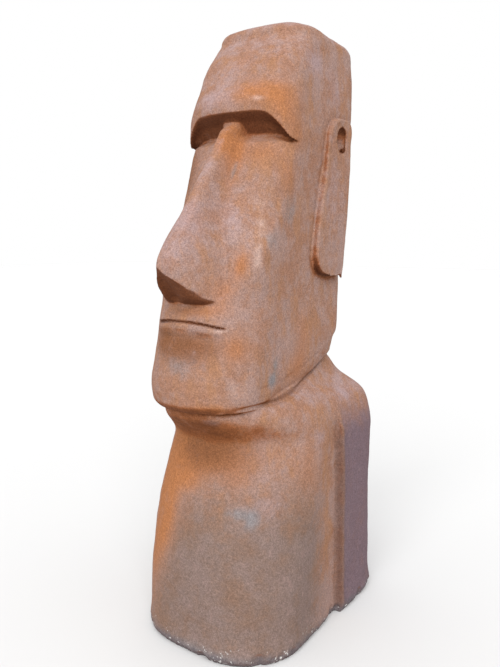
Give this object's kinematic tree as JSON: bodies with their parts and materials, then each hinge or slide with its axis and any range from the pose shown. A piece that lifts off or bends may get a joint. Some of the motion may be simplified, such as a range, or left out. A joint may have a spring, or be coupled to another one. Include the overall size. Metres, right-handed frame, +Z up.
{
  "type": "moai head statue",
  "caption": "Tall head statue with a heavy brow, a long nose and long ears on a cut-off torso, standing free on its flat underside.",
  "frame": {"origin": "middle of the footprint, on the ground", "axes": "+Z up, the face looks along -Y, +X is the statue's own left"},
  "size_m": [0.598, 0.918, 2],
  "materials": {
    "cast_stone": "fine sandy cast stone with a rust-coloured painted patina"
  },
  "bodies": {
    "root": {"moai_statue": "cast_stone"}
  },
  "joints": []
}
